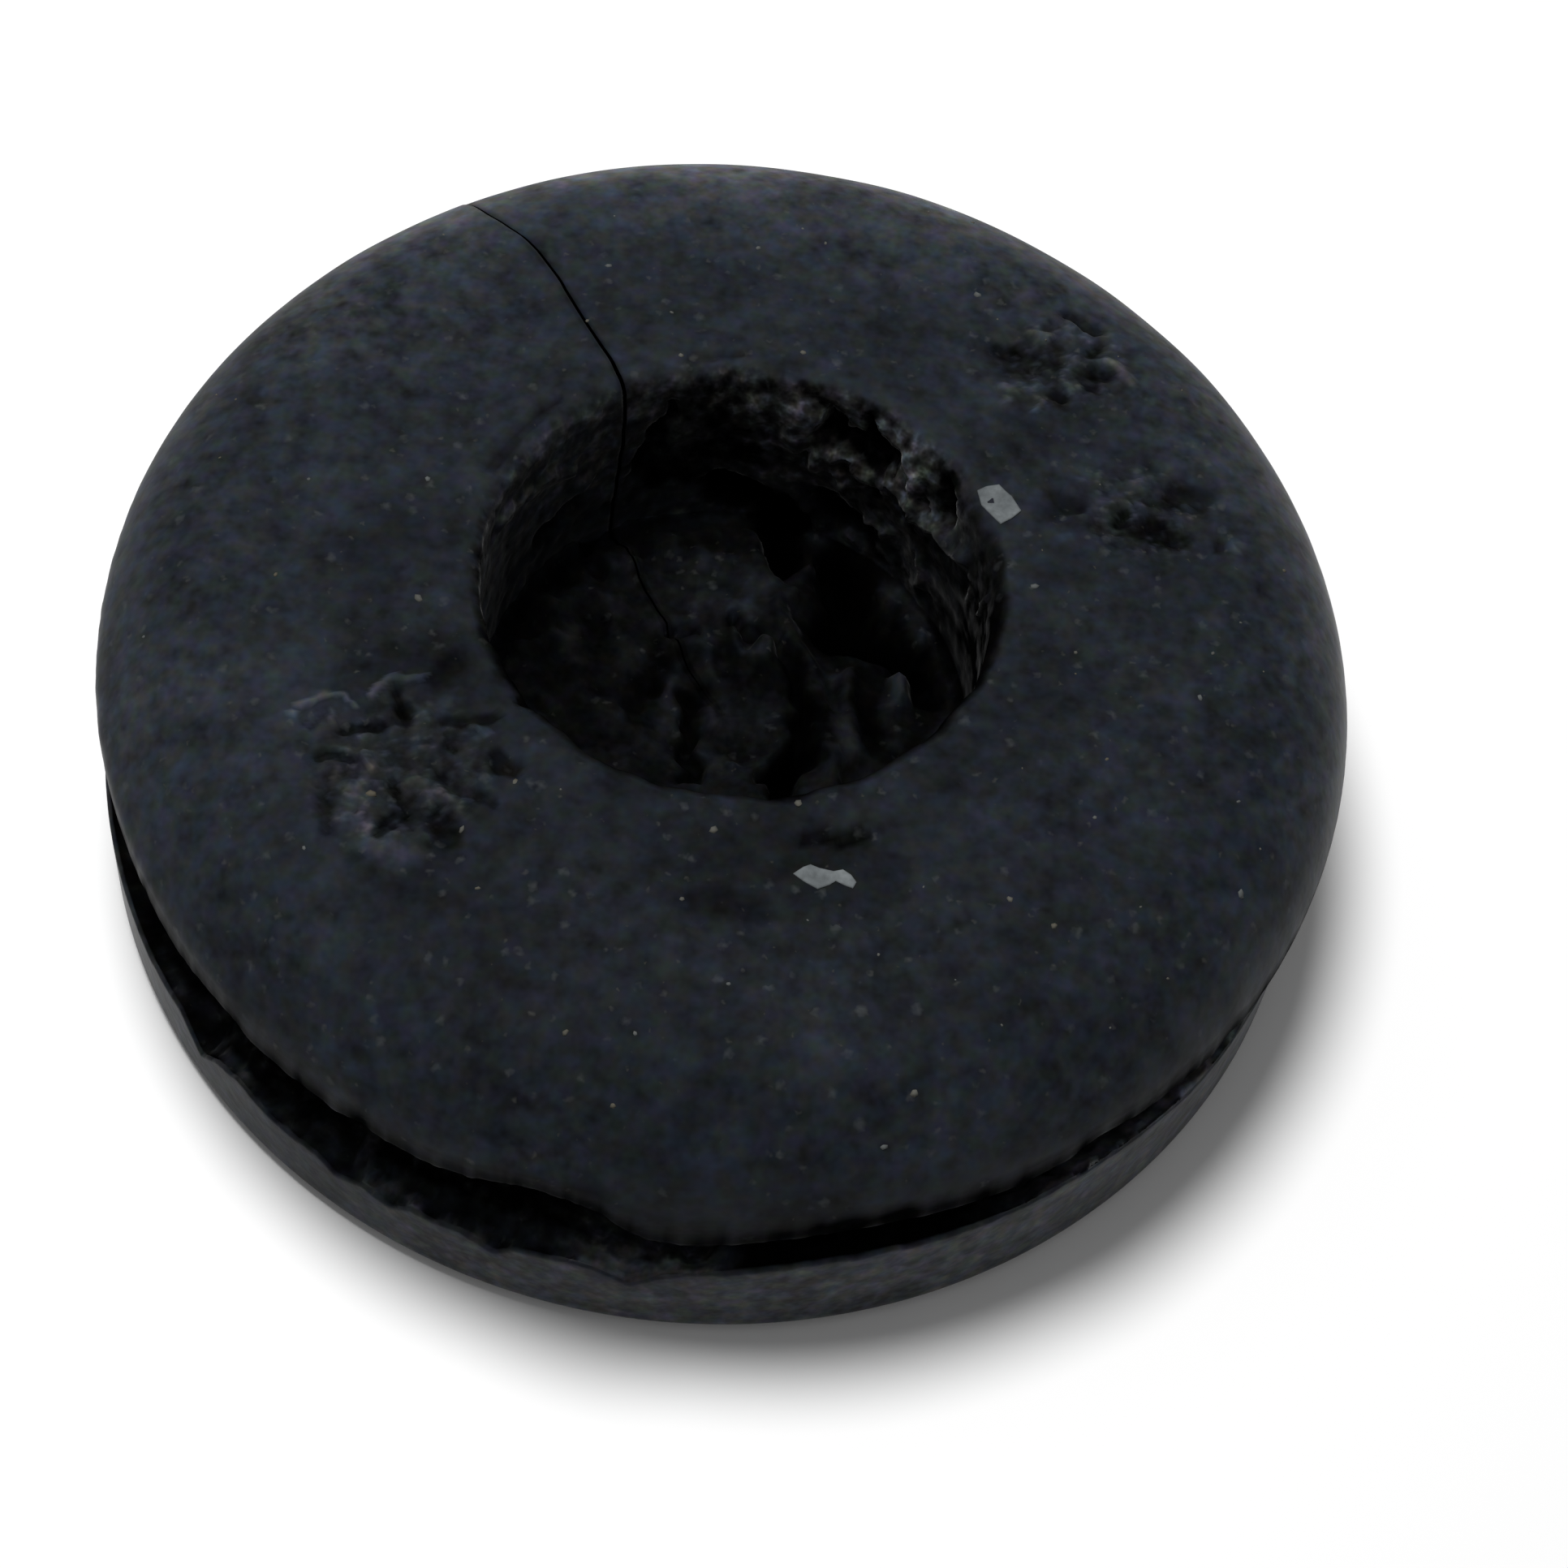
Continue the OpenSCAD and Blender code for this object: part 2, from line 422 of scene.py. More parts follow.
# Painted shade in the tears and gaps of the web, with lighter streaks and patches
webShade = [  # (shade, width, points)
    (-1.0, 0.22, [(-1.15, 0.9), (-1.35, 0.3), (-1.4, -0.2)]),
    (-0.8, 0.2, [(-0.55, 0.4), (-0.45, -0.4), (-0.4, -1.2)]),
    (-1.2, 0.25, [(1.1, 0.9), (1.35, 0.2), (1.5, -0.5)]),
    (-1.3, 0.25, [(2.15, 1.0), (2.35, 0.3), (2.45, -0.2)]),
    (-1.0, 0.32, [(0.25, 0.75), (0.8, 0.7)]),
    (-1.5, 0.35, [(1.5, 1.8), (2.4, 1.9)]),
    (-1.2, 0.3, [(3.0, 1.5), (3.2, 1.0)]),
    (-0.6, 0.4, [(-2.6, 0.2), (-3.2, 0.9)]),
    (0.5, 0.4, [(-0.9, 2.6), (-0.4, 2.0), (0.3, 2.4)]),
    (0.5, 0.14, [(1.6, 0.9), (1.8, 0.2), (2.0, -0.5)]),
    (0.5, 0.14, [(-0.95, 0.6), (-0.9, -0.1), (-1.0, -0.7)]),
    (0.9, 0.3, [(2.75, 0.8), (2.85, 0.7)]),
]
webEdge = [(-3.2, 2.3), (-0.81, 2.04), (0.41, 1.57), (1.65, 1.08), (2.6, 0.63), (3.54, 0.1),
           (4.2, -0.69)]  # (y, x) along the edge of the tear
webWear = {
    "pitShrink": 0.44,
    "pitDrop": 0.3,
    "flapHeight": 0.25,
    "flapReach": 1.6,
    "flapLip": 0.12,
    "leftRise": 0.35,
    "grit": 0.1,
    "crumbs": 0.015,
    # painted shade over the whole web at the hole's foot
    "shade": -1.4,
    "crumbled": 0.15,
}

# The hole's wall: points are (direction in degrees, height)
wallTears = [
    (-0.45, 0.30, [(59.5, 5.0), (66, 5.0), (73.5, 5.0)]),
    (-0.35, 0.13, [(74, 5.2), (76, 5.5)]),
    (-0.35, 0.16, [(65, 5.4), (66.5, 5.7), (67, 5.95)]),
    (-0.35, 0.16, [(40, 5.85), (40.5, 5.4), (38, 5.05)]),
    (-0.25, 0.16, [(82, 5.9), (80, 5.65)]),
    (-0.20, 0.11, [(62, 4.1)]),
    (-0.20, 0.10, [(46, 4.8)]),
    (-0.20, 0.11, [(80, 4.35)]),
    (-0.45, 0.34, [(84, 2.5), (90, 2.85), (96, 3.0)]),
    (-0.25, 0.30, [(64, 3.0), (74, 3.2)]),
    (0.16, 0.17, [(24, 4.95), (30, 4.8), (38, 4.7), (47, 4.55), (57, 4.7)]),
    (0.08, 0.30, [(30, 4.9), (44, 4.6)]),
    (0.14, 0.16, [(52, 5.7), (50, 5.0), (48, 4.5)]),
    (0.16, 0.14, [(60, 4.45), (66, 4.55), (70, 4.75), (75, 4.55), (77, 4.2)]),
    (0.12, 0.12, [(71, 4.8), (71, 4.0)]),
    (0.16, 0.26, [(80, 5.35), (84, 5.0), (82, 4.65)]),
    (0.12, 0.10, [(47, 3.65)]),
    (0.12, 0.12, [(55, 3.5), (58, 3.3)]),
    (0.12, 0.12, [(64, 2.65)]),
    (0.10, 0.12, [(43, 3.6), (43, 2.9)]),
    (0.08, 0.08, [(12, 5.3), (14, 4.7)]),
    (0.08, 0.10, [(22, 4.6), (24, 4.2)]),
    (0.12, 0.14, [(138, 4.6), (145, 4.85), (155, 5.0), (164, 5.15)]),
    (0.10, 0.08, [(143, 5.8)]),
    (0.10, 0.12, [(134, 4.1), (131, 4.3)]),
    (0.08, 0.20, [(91, 5.3), (92, 5.0)]),
    (-0.15, 0.20, [(138, 3.6), (146, 3.3)]),
    (-0.20, 0.13, [(112, 5.3), (116, 4.5), (121, 3.6)]),
]
# Painted light and shade on the wall, by direction and by height down the hole
wallShade = [(0, -2.3), (14, -2.4), (22, -2.1), (30, -1.3), (38, -0.5), (50, -0.1), (62, 0.3), (80, 0.5),
             (88, 0.1), (95, -0.3), (112, -0.3), (120, -0.1), (132, 0.0), (165, 0.0), (180, -0.1),
             (195, -0.8), (215, -2.2), (330, -2.3), (360, -2.3)]
depthShade = [(2.0, 0.9), (2.5, 0.8), (3.0, 0.6), (3.5, 1.1), (4.0, 0.9), (4.6, 0.3), (5.4, 0.6),
              (5.9, 0.3)]
gritShare = [(0, 0.25), (25, 0.4), (40, 1), (150, 1), (180, 0.7), (225, 0.25), (360, 0.25)]
crumbShare = [(0, 0.15), (28, 0.3), (40, 1.0), (50, 1.3), (100, 1.2), (120, 0.8), (190, 0.6), (225, 0.2),
              (360, 0.15)]
# Painted shade on the mouth's inner round, by direction
mouthPaintedShade = [(0, 0.6), (20, 0.5), (40, 0), (160, 0), (175, 0.8), (205, 0.8), (225, 0.2), (320, 0.2),
             (345, 0.6), (360, 0.6)]
# Painted shade in the wall's pockets and at its foot, painted light on its lit sides, and pale flakes
wallPaintedLightAndFlakes = [  # (shade, width, points)
    (-4.5, 0.38, [(82, 2.4), (87, 2.8), (96, 3.05)]),
    (-3.2, 0.2, [(104, 3.55), (114, 3.5)]),
    (-2.3, 0.33, [(95, 4.0), (106, 4.0), (117, 3.85)]),
    (-1.3, 0.26, [(100, 4.5), (103, 5.5)]),
    (-1.5, 0.25, [(84, 4.05), (94, 4.15)]),
    (-1.8, 0.14, [(42, 5.25), (43, 5.6)]),
    (-2.0, 0.2, [(61, 5.05), (70, 5.05)]),
    (-1.2, 0.22, [(60, 4.45), (70, 4.5)]),
    (-1.3, 0.3, [(62, 3.9), (70, 3.9)]),
    (-1.1, 0.5, [(62, 3.4), (72, 2.7)]),
    (-0.8, 0.3, [(42, 4.05), (58, 4.0)]),
    (-1.3, 0.35, [(32, 2.5), (44, 2.6), (58, 2.8)]),
    (-1.0, 0.5, [(128, 3.3), (150, 3.25), (166, 3.2)]),
    (0.9, 0.22, [(8, 5.6), (28, 5.65)]),
    (0.8, 0.25, [(26, 3.9), (34, 4.0)]),
    (0.5, 0.3, [(138, 4.6), (146, 4.8), (156, 4.95), (165, 5.15)]),
    (1.2, 0.5, [(135, 4.75), (150, 4.8), (166, 4.75)]),
    (0.8, 0.25, [(132, 5.5), (162, 5.5)]),
    (-1.0, 0.3, [(6, 3.6), (22, 3.6)]),
    (-0.8, 0.25, [(26, 3.1), (34, 3.0)]),
    (-0.7, 0.25, [(76, 5.6), (92, 5.5)]),
    (0.6, 0.12, [(143, 5.8)]),
    (0.6, 0.15, [(134, 4.1), (131, 4.4)]),
    (1.0, 0.17, [(102, 3.1), (104, 2.5)]),
    (0.9, 0.15, [(83, 3.1)]),
    (0.9, 0.18, [(92, 5.35)]),
    (0.8, 0.12, [(57, 3.5), (50, 3.6), (42, 3.5), (40, 3.1)]),
    (0.8, 0.12, [(66, 2.6)]),
]
wallWear = {
    "wander": 0.2,
    "grit": 0.05,
    "gritTone": 0.6,
    "tearTone": 11,
    "brightest": 1.2,
}

# How the flanges wore and slumped, and the painted shade and light on them, by direction in degrees. The
# upper lip is a rise, the lower a height.
upperLip = [(150, 0.0), (180, 0.2), (200, 0.45), (215, 0.42), (222, 0.3), (229, 0.45), (232, 0.25),
            (240, 0.25), (245, 0.3), (250, 0.25), (255, 0.35), (258, 0.55), (261, 0.72), (264, 0.62),
            (267, 0.38), (269, 0.0), (271, -0.2), (275, -0.25), (280, -0.08), (285, 0.05), (290, 0.12),
            (297, 0.07), (303, 0.03), (308, 0.15), (311, 0.45), (314, 0.27), (320, 0.15), (325, 0.03),
            (327, 0.2), (330, -0.03), (340, 0.05), (355, 0.0)]
lowerLip = [(150, 2.0), (200, 1.75), (215, 1.6), (221, 1.7), (224, 1.05), (227, 1.6), (230, 1.8),
            (235, 1.6), (240, 1.65), (242, 1.45), (245, 1.6), (248, 1.5), (250, 1.75), (255, 1.8),
            (258, 1.5), (260, 1.85), (265, 1.95), (268, 1.8), (270, 1.5), (273, 1.95), (275, 2.08),
            (280, 2.22), (285, 2.35), (290, 2.4), (295, 2.38), (300, 2.33), (305, 2.36), (310, 2.45),
            (315, 2.4), (320, 2.3), (325, 2.1), (330, 2.05), (335, 2.1), (350, 2.0)]
grooveReach = [(0, 7.0), (180, 7.2), (222, 8.2), (232, 8.6), (240, 8.0), (252, 8.5), (261, 8.0), (268, 9.1),
               (276, 9.3), (280, 7.6), (299, 7.8), (305, 8.9), (334, 9.1), (345, 7.4), (360, 7.0)]
# Painted shade in the groove, lighter where it is shallow
grooveShade = [(0, -2.5), (180, -3.3), (212, -3.0), (222, -2.2), (240, -2.2), (262, -2.2), (266, 0.6),
               (277, 0.6), (281, -4.0), (299, -4.0), (303, -2.0), (308, 0.1), (334, 0.3), (345, -0.5),
               (360, -2.5)]
# Painted light on the lower wall
lowWallShade = [(0, 1.5), (180, 0.9), (235, 0.7), (255, 1.55), (360, 1.5)]
slump = {
    "lean": (-0.08, -0.06),
    "leanReach": 0.993,
    "backFullness": 0.11,
    "leftDrawIn": 0.12,
    "upperRagged": 0.11,
    "lowerRagged": 0.08,
    "grooveRagged": 0.5,
    "shelfLumps": 0.25,
}

# The split, by distance from the axis: its direction in degrees and half its width
splitPath = [(1.5, 127.0), (3.0, 125.7), (3.9, 123.6), (4.16, 122.9), (4.74, 122.6), (5.7, 123.2),
             (6.66, 123.0), (7.45, 123.6), (7.78, 124.2), (8.13, 125.1), (8.58, 125.9), (10.0, 126.5)]
splitHalf = [(0.0, 0.0), (1.2, 0.014), (3.5, 0.022), (4.0, 0.036), (4.4, 0.038), (5.5, 0.032), (8.0, 0.028),
             (10.0, 0.03)]
splitWear = {
    "wallLean": 2.6,  # degrees that the wall's foot is ahead of its mouth
    "wiggle": 0.02,
    "step": 0.012,  # height of one side over the other
}


def table(stops, value):
    return np.interp(value, [stop[0] for stop in stops], [stop[1] for stop in stops])


def bell(value, middle, width):
    return np.exp(-((value - middle) / width) ** 2)


def smooth(value, low, high):
    share = np.clip((value - low) / (high - low), 0, 1)
    return share * share * (3 - 2 * share)


def distanceTo(points, x, y):
    near = np.hypot(x - points[0][0], y - points[0][1])
    for (x0, y0), (x1, y1) in zip(points, points[1:]):
        length = (x1 - x0) ** 2 + (y1 - y0) ** 2
        share = np.clip(((x - x0) * (x1 - x0) + (y - y0) * (y1 - y0)) / length, 0, 1)
        near = np.minimum(near, np.hypot(x - x0 - share * (x1 - x0), y - y0 - share * (y1 - y0)))
    return near


def strokeHeight(strokes, x, y, perStep=1.0, edge=2.4):
    total = np.zeros(len(x))
    for height, width, points in strokes:
        line = [(px * perStep, py) for px, py in points]
        total += height * np.exp(-(distanceTo(line, x, y) / width) ** edge)
    return total


def grain(points, size, octaves, seed):
    offset = Vector((seed, 2.7 * seed, -1.3 * seed))
    return np.array([noise.fractal(Vector(p) / size + offset, 1.0, 2.0, octaves) for p in points])


def refine(bm, chosen):
    faces = [face for face in bm.faces if chosen(face.calc_center_median() / mm)]
    edges = dict.fromkeys(edge for face in faces for edge in face.edges)
    bmesh.ops.subdivide_edges(bm, edges=list(edges), cuts=1, use_grid_fill=True)


def onRoughTop(middle):
    near = any(math.hypot(middle.x - x, middle.y - y) < reach for (x, y), reach in roughPlaces)
    return near and middle.z > 5


def refineLips(bm):
    edges = []
    for edge in bm.edges:
        middle = (edge.verts[0].co + edge.verts[1].co) / (2 * mm)
        nearLip = 1.3 < middle.z < 2.3 or 2.9 < middle.z < 4.1
        if nearLip and math.hypot(middle.x, middle.y) > 9.3 and middle.y < 1 and runsAcross(edge):
            edges.append(edge)
    bmesh.ops.subdivide_edges(bm, edges=edges, cuts=1, use_grid_fill=True)


refine(moulding, onRoughTop)
refineLips(moulding)
print("refined:", len(moulding.verts), "points")


def polar(place):
    x, y = place[:, 0], place[:, 1]
    return np.hypot(x, y), np.degrees(np.arctan2(y, x)) % 360


def sculptTop(place, outward, lift, shade, crumbled):
    chosen = (outward[:, 2] > 0.2) & (place[:, 2] > edgeStart / mm)
    spot = place[chosen]
    x, y = spot[:, 0], spot[:, 1]
    spread, direction = polar(spot)
    strayX = x + topWear["wander"] * grain(spot, 0.3, 2, 11)
    strayY = y + topWear["wander"] * grain(spot, 0.3, 2, 17)
    strokes = crumpledPatch + upperDent + lowerDent + dimples
    marks = strokeHeight(strokes, strayX, strayY)
    crisp = strokeHeight(strokes, strayX, strayY, edge=5)
    rough = sum(1 - smooth(np.hypot(x - cx, y - cy), 0.5 * reach, reach) for (cx, cy), reach in roughPlaces)
    grit = grain(spot, 0.3, 3, 3)
    crumbs = grain(spot, 0.13, 2, 5)
    raised = topWear["strokes"] * marks + topWear["waves"] * grain(spot, 2.5, 2, 7)
    raised += rough * (topWear["grit"] * (grit - 0.2) + topWear["crumbs"] * crumbs)
    lift[chosen] += smooth(outward[chosen, 2], 0.2, 0.7) * raised
    # Marks take tone from their height: ridges lighter, and hollows darker as painted shade
    markTone = np.where(crisp > 0, topWear["ridgeTone"], topWear["hollowPaintedShade"]) * crisp
    wearAndPaintedLight = np.clip(markTone, -topWear["toneLimit"], topWear["toneLimit"]) + strokeHeight(tonePatches, x, y)
    wearAndPaintedLight += rough * (0.6 * (grit - 0.1) + 0.4 * crumbs + np.clip(3 * (crumbs - 0.3), 0, 0.9))
    # Painted light and shade by direction, with a painted sheen on the rim's round
    outer = smooth(spread, 5.0, 8.5)
    wearAndPaintedLight += (1 - outer) * table(topShade, direction) + outer * table(rimShade, direction)
    wearAndPaintedLight += smooth(spread, 8.3, 9.6) * table(edgeShade, direction) + 0.35 * grain(spot, 1.6, 3, 71)
    shade[chosen] += wearAndPaintedLight
    crumbled[chosen] = topWear["crumbled"] * rough


def sculptWall(place, outward, lift, shade, crumbled):
    z = place[:, 2]
    radius, direction = polar(place)
    inwards = -outward[:, 0]
    perDegree = math.radians(1) * boreRadius / mm
    wall = (inwards > 0.3) & (radius < 4.6) & (radius > 3.5)
    spot, facing = place[wall], direction[wall]
    along = facing * perDegree + wallWear["wander"] * grain(spot, 0.45, 2, 23)
    height = z[wall] + wallWear["wander"] * grain(spot, 0.45, 2, 29)
    marks = strokeHeight(wallTears, along, height, perDegree)
    grit = grain(spot, 0.35, 3, 31) * table(gritShare, facing)
    share = smooth(inwards[wall], 0.3, 0.9)
    underEdge = 1 - smooth(z[wall], 5.35, 5.75)
    lift[wall] += share * (marks * underEdge + wallWear["grit"] * grit)
    # The wall's tone: painted light and shade by direction and depth, pockets darker as painted shade, flakes
    # paler, and its grit
    wearAndPaintedLight = table(wallShade, facing) + table(depthShade, z[wall])
    wearAndPaintedLight += np.clip(wallWear["tearTone"] * marks, -3, 0.8) + wallWear["gritTone"] * grit
    wearAndPaintedLight += strokeHeight(wallPaintedLightAndFlakes, along, height, perDegree)
    shade[wall] += share * np.minimum(wearAndPaintedLight, wallWear["brightest"])
    crumbled[wall] = share * (0.45 + 0.55 * smooth(z[wall], 3.0, 4.3)) * table(crumbShare, facing)
    # Painted shade on the mouth's inner round
    mouth = (radius < 4.4) & (z > 5.3) & (inwards > 0.1)
    shade[mouth] -= table(mouthPaintedShade, direction[mouth]) * smooth(inwards[mouth], 0.1, 0.8)


def sculptWeb(place, outward, shade, crumbled):
    x, y, z = place.T
    radius, _ = polar(place)
    level = floorHeight / mm
    pit = (radius < 1.75) & (z > 0.5) & (z < level - 0.05)
    drop = np.clip((level - z) * mm / form["pitDepth"], 0, 1.1)
    onPitFloor = pit & (outward[:, 2] > 0.8)
    shrink = np.where(onPitFloor, 1 - webWear["pitShrink"], 1 - webWear["pitShrink"] * drop)
    x[pit] *= shrink[pit]
    y[pit] *= shrink[pit]
    z[pit] = (level - webWear["pitDrop"] * drop)[pit]
    web = ((outward[:, 2] > 0.3) | pit) & (radius < 4.2) & (z > 0.5) & (z < 2.6)
    spot = place[web]
    strayX = spot[:, 0] + 0.2 * grain(spot, 0.6, 2, 37)
    strayY = spot[:, 1] + 0.2 * grain(spot, 0.6, 2, 41)
    tears = strokeHeight(webTears, strayX, strayY)
    grit = grain(spot, 0.6, 3, 43)
    crumbs = grain(spot, 0.16, 2, 47)
    beyond = 0.88 * (strayX - table(webEdge, strayY))  # how far a point is past the torn edge
    leftSide = smooth(-spot[:, 0], 0.5, 2.5)
    flap = webWear["flapHeight"] * np.exp(-(beyond / np.where(beyond < 0, webWear["flapReach"], 0.08)) ** 2)
    flap += webWear["flapLip"] * bell(beyond, -0.12, 0.1)
    flap += webWear["leftRise"] * leftSide * smooth(radius[web], 2.4, 3.9) * (0.6 + grit)
    inner = np.maximum(1 - smooth(radius[web], 3.5, 4.0), 0.6 * leftSide)
    raised = flap + tears + webWear["grit"] * grit + webWear["crumbs"] * crumbs
    z[web] = np.maximum(z[web] + inner * raised, 0.5)
    crumbled[web] = webWear["crumbled"]
    # The web's tone: painted shade over it, in its tears and past the torn edge, with lighter ridges and grit
    wearAndPaintedLight = webWear["shade"] - 0.35 * leftSide + np.clip(3.2 * tears, -3.5, 0.9) + 0.8 * grit + 0.2 * crumbs
    shade[web] += wearAndPaintedLight + strokeHeight(webShade, strayX, strayY) - 0.4 * smooth(beyond, 0, 0.15)


def findRagged(place, radius):
    x, y, z = place.T
    rim = rimRadius / mm
    around = np.stack([rim * x / np.maximum(radius, 1), rim * y / np.maximum(radius, 1), z * 0], 1)
    ragged = np.zeros(len(z))
    nearLips = (radius > 6.9) & (z > 0.4) & (z < 5)
    ragged[nearLips] = grain(around[nearLips], 0.4, 4, 53)
    return ragged


def shadeFlanges(place, ragged, lift, shade, crumbled):
    z = place[:, 2]
    radius, direction = polar(place)
    inGroove = (z > 1.9) & (z < 3.4) & (radius > 6.8) & (radius < 9.89)
    # Painted shade in the groove, mottled
    shade[inGroove] += table(grooveShade, direction[inGroove]) + 1.5 * grain(place[inGroove], 0.35, 3, 59)
    crumbled[inGroove] = 0.8
    lowWall = (z < 2.05) & (radius > 9)
    # Painted light on the lower wall
    shade[lowWall] += table(lowWallShade, direction[lowWall])
    crumbled[lowWall] = 0.3
    shelf = inGroove & (z < 2.4) & (radius > 8.4)
    crumbly = bell(direction[shelf], 243, 22) + 0.6 * bell(direction[shelf], 318, 20)
    lumps = grain(place[shelf], 0.3, 3, 57)
    shade[shelf] += crumbly * smooth(radius[shelf], 9.15, 9.85) * (2.2 + 1.5 * lumps)
    lift[shelf] += crumbly * slump["shelfLumps"] * np.maximum(lumps, -0.2)
    # Painted shade under the upper lip, deeper in the dent above the groove's black core, and along the top
    # of the lower wall
    lipPaintedShade = bell(z, 3.3, 0.55) * (1.7 + ragged) + 1.2 * bell(z, 3.6, 0.25) * bell(direction, 289, 9)
    shade -= lipPaintedShade * smooth(radius, 9.3, 9.6) * (z > 3.25)
    shade -= 0.9 * bell(z, 2.0, 0.13 + 0.1 * ragged) * (radius > 9.8) * (z < 2.05)
    return inGroove


def shapeFlanges(place, outward, ragged, inGroove, lift):
    x, y, z = place.T
    radius, direction = polar(place)
    outer = smooth(radius, 8.3, 9.8)
    front = 0.3 + 0.7 * bell(direction, 265, 70)
    rim, grooveDepth = rimRadius / mm, (rimRadius - neck) / mm
    reach = table(grooveReach, direction) + slump["grooveRagged"] * ragged * front
    changed = np.where(inGroove, rim - (rim - radius) * (rim - reach) / grooveDepth, radius)
    above = (z > 3.2) & (z < 4.9)
    rise = slump["upperRagged"] * ragged * front * (1 - 0.7 * bell(direction, 292, 18))
    rise += table(upperLip, direction)
    z[above] += (rise * outer * (1 - smooth(z, 3.45, 4.9)))[above]
    drawIn = slump["leftDrawIn"] * bell(direction, 192, 24) * (1 - smooth(z, 3.6, 4.8))
    changed = np.where((z > 3.2) & (radius > 9), changed - drawIn, changed)
    below = (z > 0.5) & (z < 2.15)
    drop = table(lowerLip, direction) - grooveLow / mm + slump["lowerRagged"] * ragged * front
    z[below] += (drop * outer * smooth(z, 0.5, 1.95))[below]
    tilt = np.degrees(np.arctan2(outward[:, 2], outward[:, 0]))
    full = (radius > 6.5) & (z > 3.6)
    lift[full] += (slump["backFullness"] * bell(direction, 92, 62) * bell(tilt, 46, 26))[full]
    low = (1 - smooth(z, 1.9, 3.3)) * smooth(radius, 5, 8)
    scale = np.minimum(changed, rim - 0.01) * (1 - (1 - slump["leanReach"]) * low) / np.maximum(radius, 1e-6)
    x *= scale
    y *= scale
    x += slump["lean"][0] * low
    y += slump["lean"][1] * low


def openSplit(place):
    x, y, z = place.T
    radius, direction = polar(place)
    away = (direction - form["splitAngle"] + 180) % 360 - 180
    arc = np.radians(away) * radius
    wiggle = [noise.fractal(Vector((1.2 * r, 0.6 * h, 7)), 1.0, 2.0, 2) for r, h in zip(radius, z)]
    lean = splitWear["wallLean"] * bell(radius, 4, 0.45) * (1 - smooth(z, 2.6, 5.6))
    path = np.radians(table(splitPath, radius) + lean - form["splitAngle"]) * radius
    path += splitWear["wiggle"] * np.array(wiggle)
    half = table(splitHalf, radius) - math.tan(math.radians(form["splitOpening"] / 2)) * radius
    shift = path * bell(arc, 0, 2.5) + np.sign(arc) * half * bell(arc, 0, 0.4)
    shift *= smooth(radius, 0.2, 1.2)
    turned = np.radians(direction) + shift / np.maximum(radius, 0.1)
    x[:] = radius * np.cos(turned)
    y[:] = radius * np.sin(turned)
    return bell(arc, 0, 0.3) * np.sign(arc)  # which side of the split a point is on, fading away from it


def wearMouth(place):
    x, y, z = place.T
    radius, _ = polar(place)
    near = bell(z, 5.8, 0.4) * bell(radius, 4.15, 0.4)
    chosen = near > 0.02
    ring = place[chosen] * np.array([1, 1, 0.5])
    change = near[chosen] * (0.11 * grain(ring, 0.9, 2, 61) + 0.025 * grain(ring, 0.25, 2, 67)
                             + (0.05 * x[chosen] + 0.15 * y[chosen]) / radius[chosen])
    for axis in (x, y):
        axis[chosen] *= 1 + change / radius[chosen]


def sculpt(bm):
    floats = bm.verts.layers.float
    floats.new("tone")
    floats.new("rough")
    toneLayer, roughLayer, insideLayer = floats["tone"], floats["rough"], floats["inside"]
    outwardLayer = bm.verts.layers.float_vector["outward"]
    place = np.array([vert.co for vert in bm.verts]) / mm
    outward = np.array([vert[outwardLayer] for vert in bm.verts])
    inside = np.array([vert[insideLayer] for vert in bm.verts])
    lift, shade, crumbled = np.zeros(len(place)), np.zeros(len(place)), np.zeros(len(place))
    radius, _ = polar(place)
    away = place[:, :2] / np.maximum(radius, 1e-6)[:, None]
    normal = np.stack([outward[:, 0] * away[:, 0], outward[:, 0] * away[:, 1], outward[:, 2]], 1)
    sculptTop(place, outward, lift, shade, crumbled)
    sculptWall(place, outward, lift, shade, crumbled)
    sculptWeb(place, outward, shade, crumbled)
    ragged = findRagged(place, polar(place)[0])
    inGroove = shadeFlanges(place, ragged, lift, shade, crumbled)
    shapeFlanges(place, outward, ragged, inGroove, lift)
    wearMouth(place)
    step = openSplit(place)
    # Painted shade along the split's edges and on the faces inside it
    shade -= 0.4 * (np.abs(step) > 0.94) + 5 * inside
    place += normal * lift[:, None]
    z = place[:, 2]
    z += splitWear["step"] * step * (z > 4)
    high = z > form["levelTop"]
    z[high] = form["levelTop"] + 0.05 * np.tanh((z[high] - form["levelTop"]) / 0.05)
    # The tone layer holds the marks' own colour together with the painted light and shade.
    for vert, point, tone, rough in zip(bm.verts, place, np.exp2(shade), crumbled):
        vert.co = Vector(point) * mm
        vert[toneLayer] = tone
        vert[roughLayer] = rough


sculpt(moulding)
bmesh.ops.triangulate(moulding, faces=splitFaces(moulding), ngon_method="EAR_CLIP")
bmesh.ops.recalc_face_normals(moulding, faces=moulding.faces[:])
surface = BVHTree.FromBMesh(moulding)
grommet = newPiece("grommet_moulding", moulding)
print("moulding sculpted")


# Dust: grains bedded in the top face, and two pale flakes lying on it

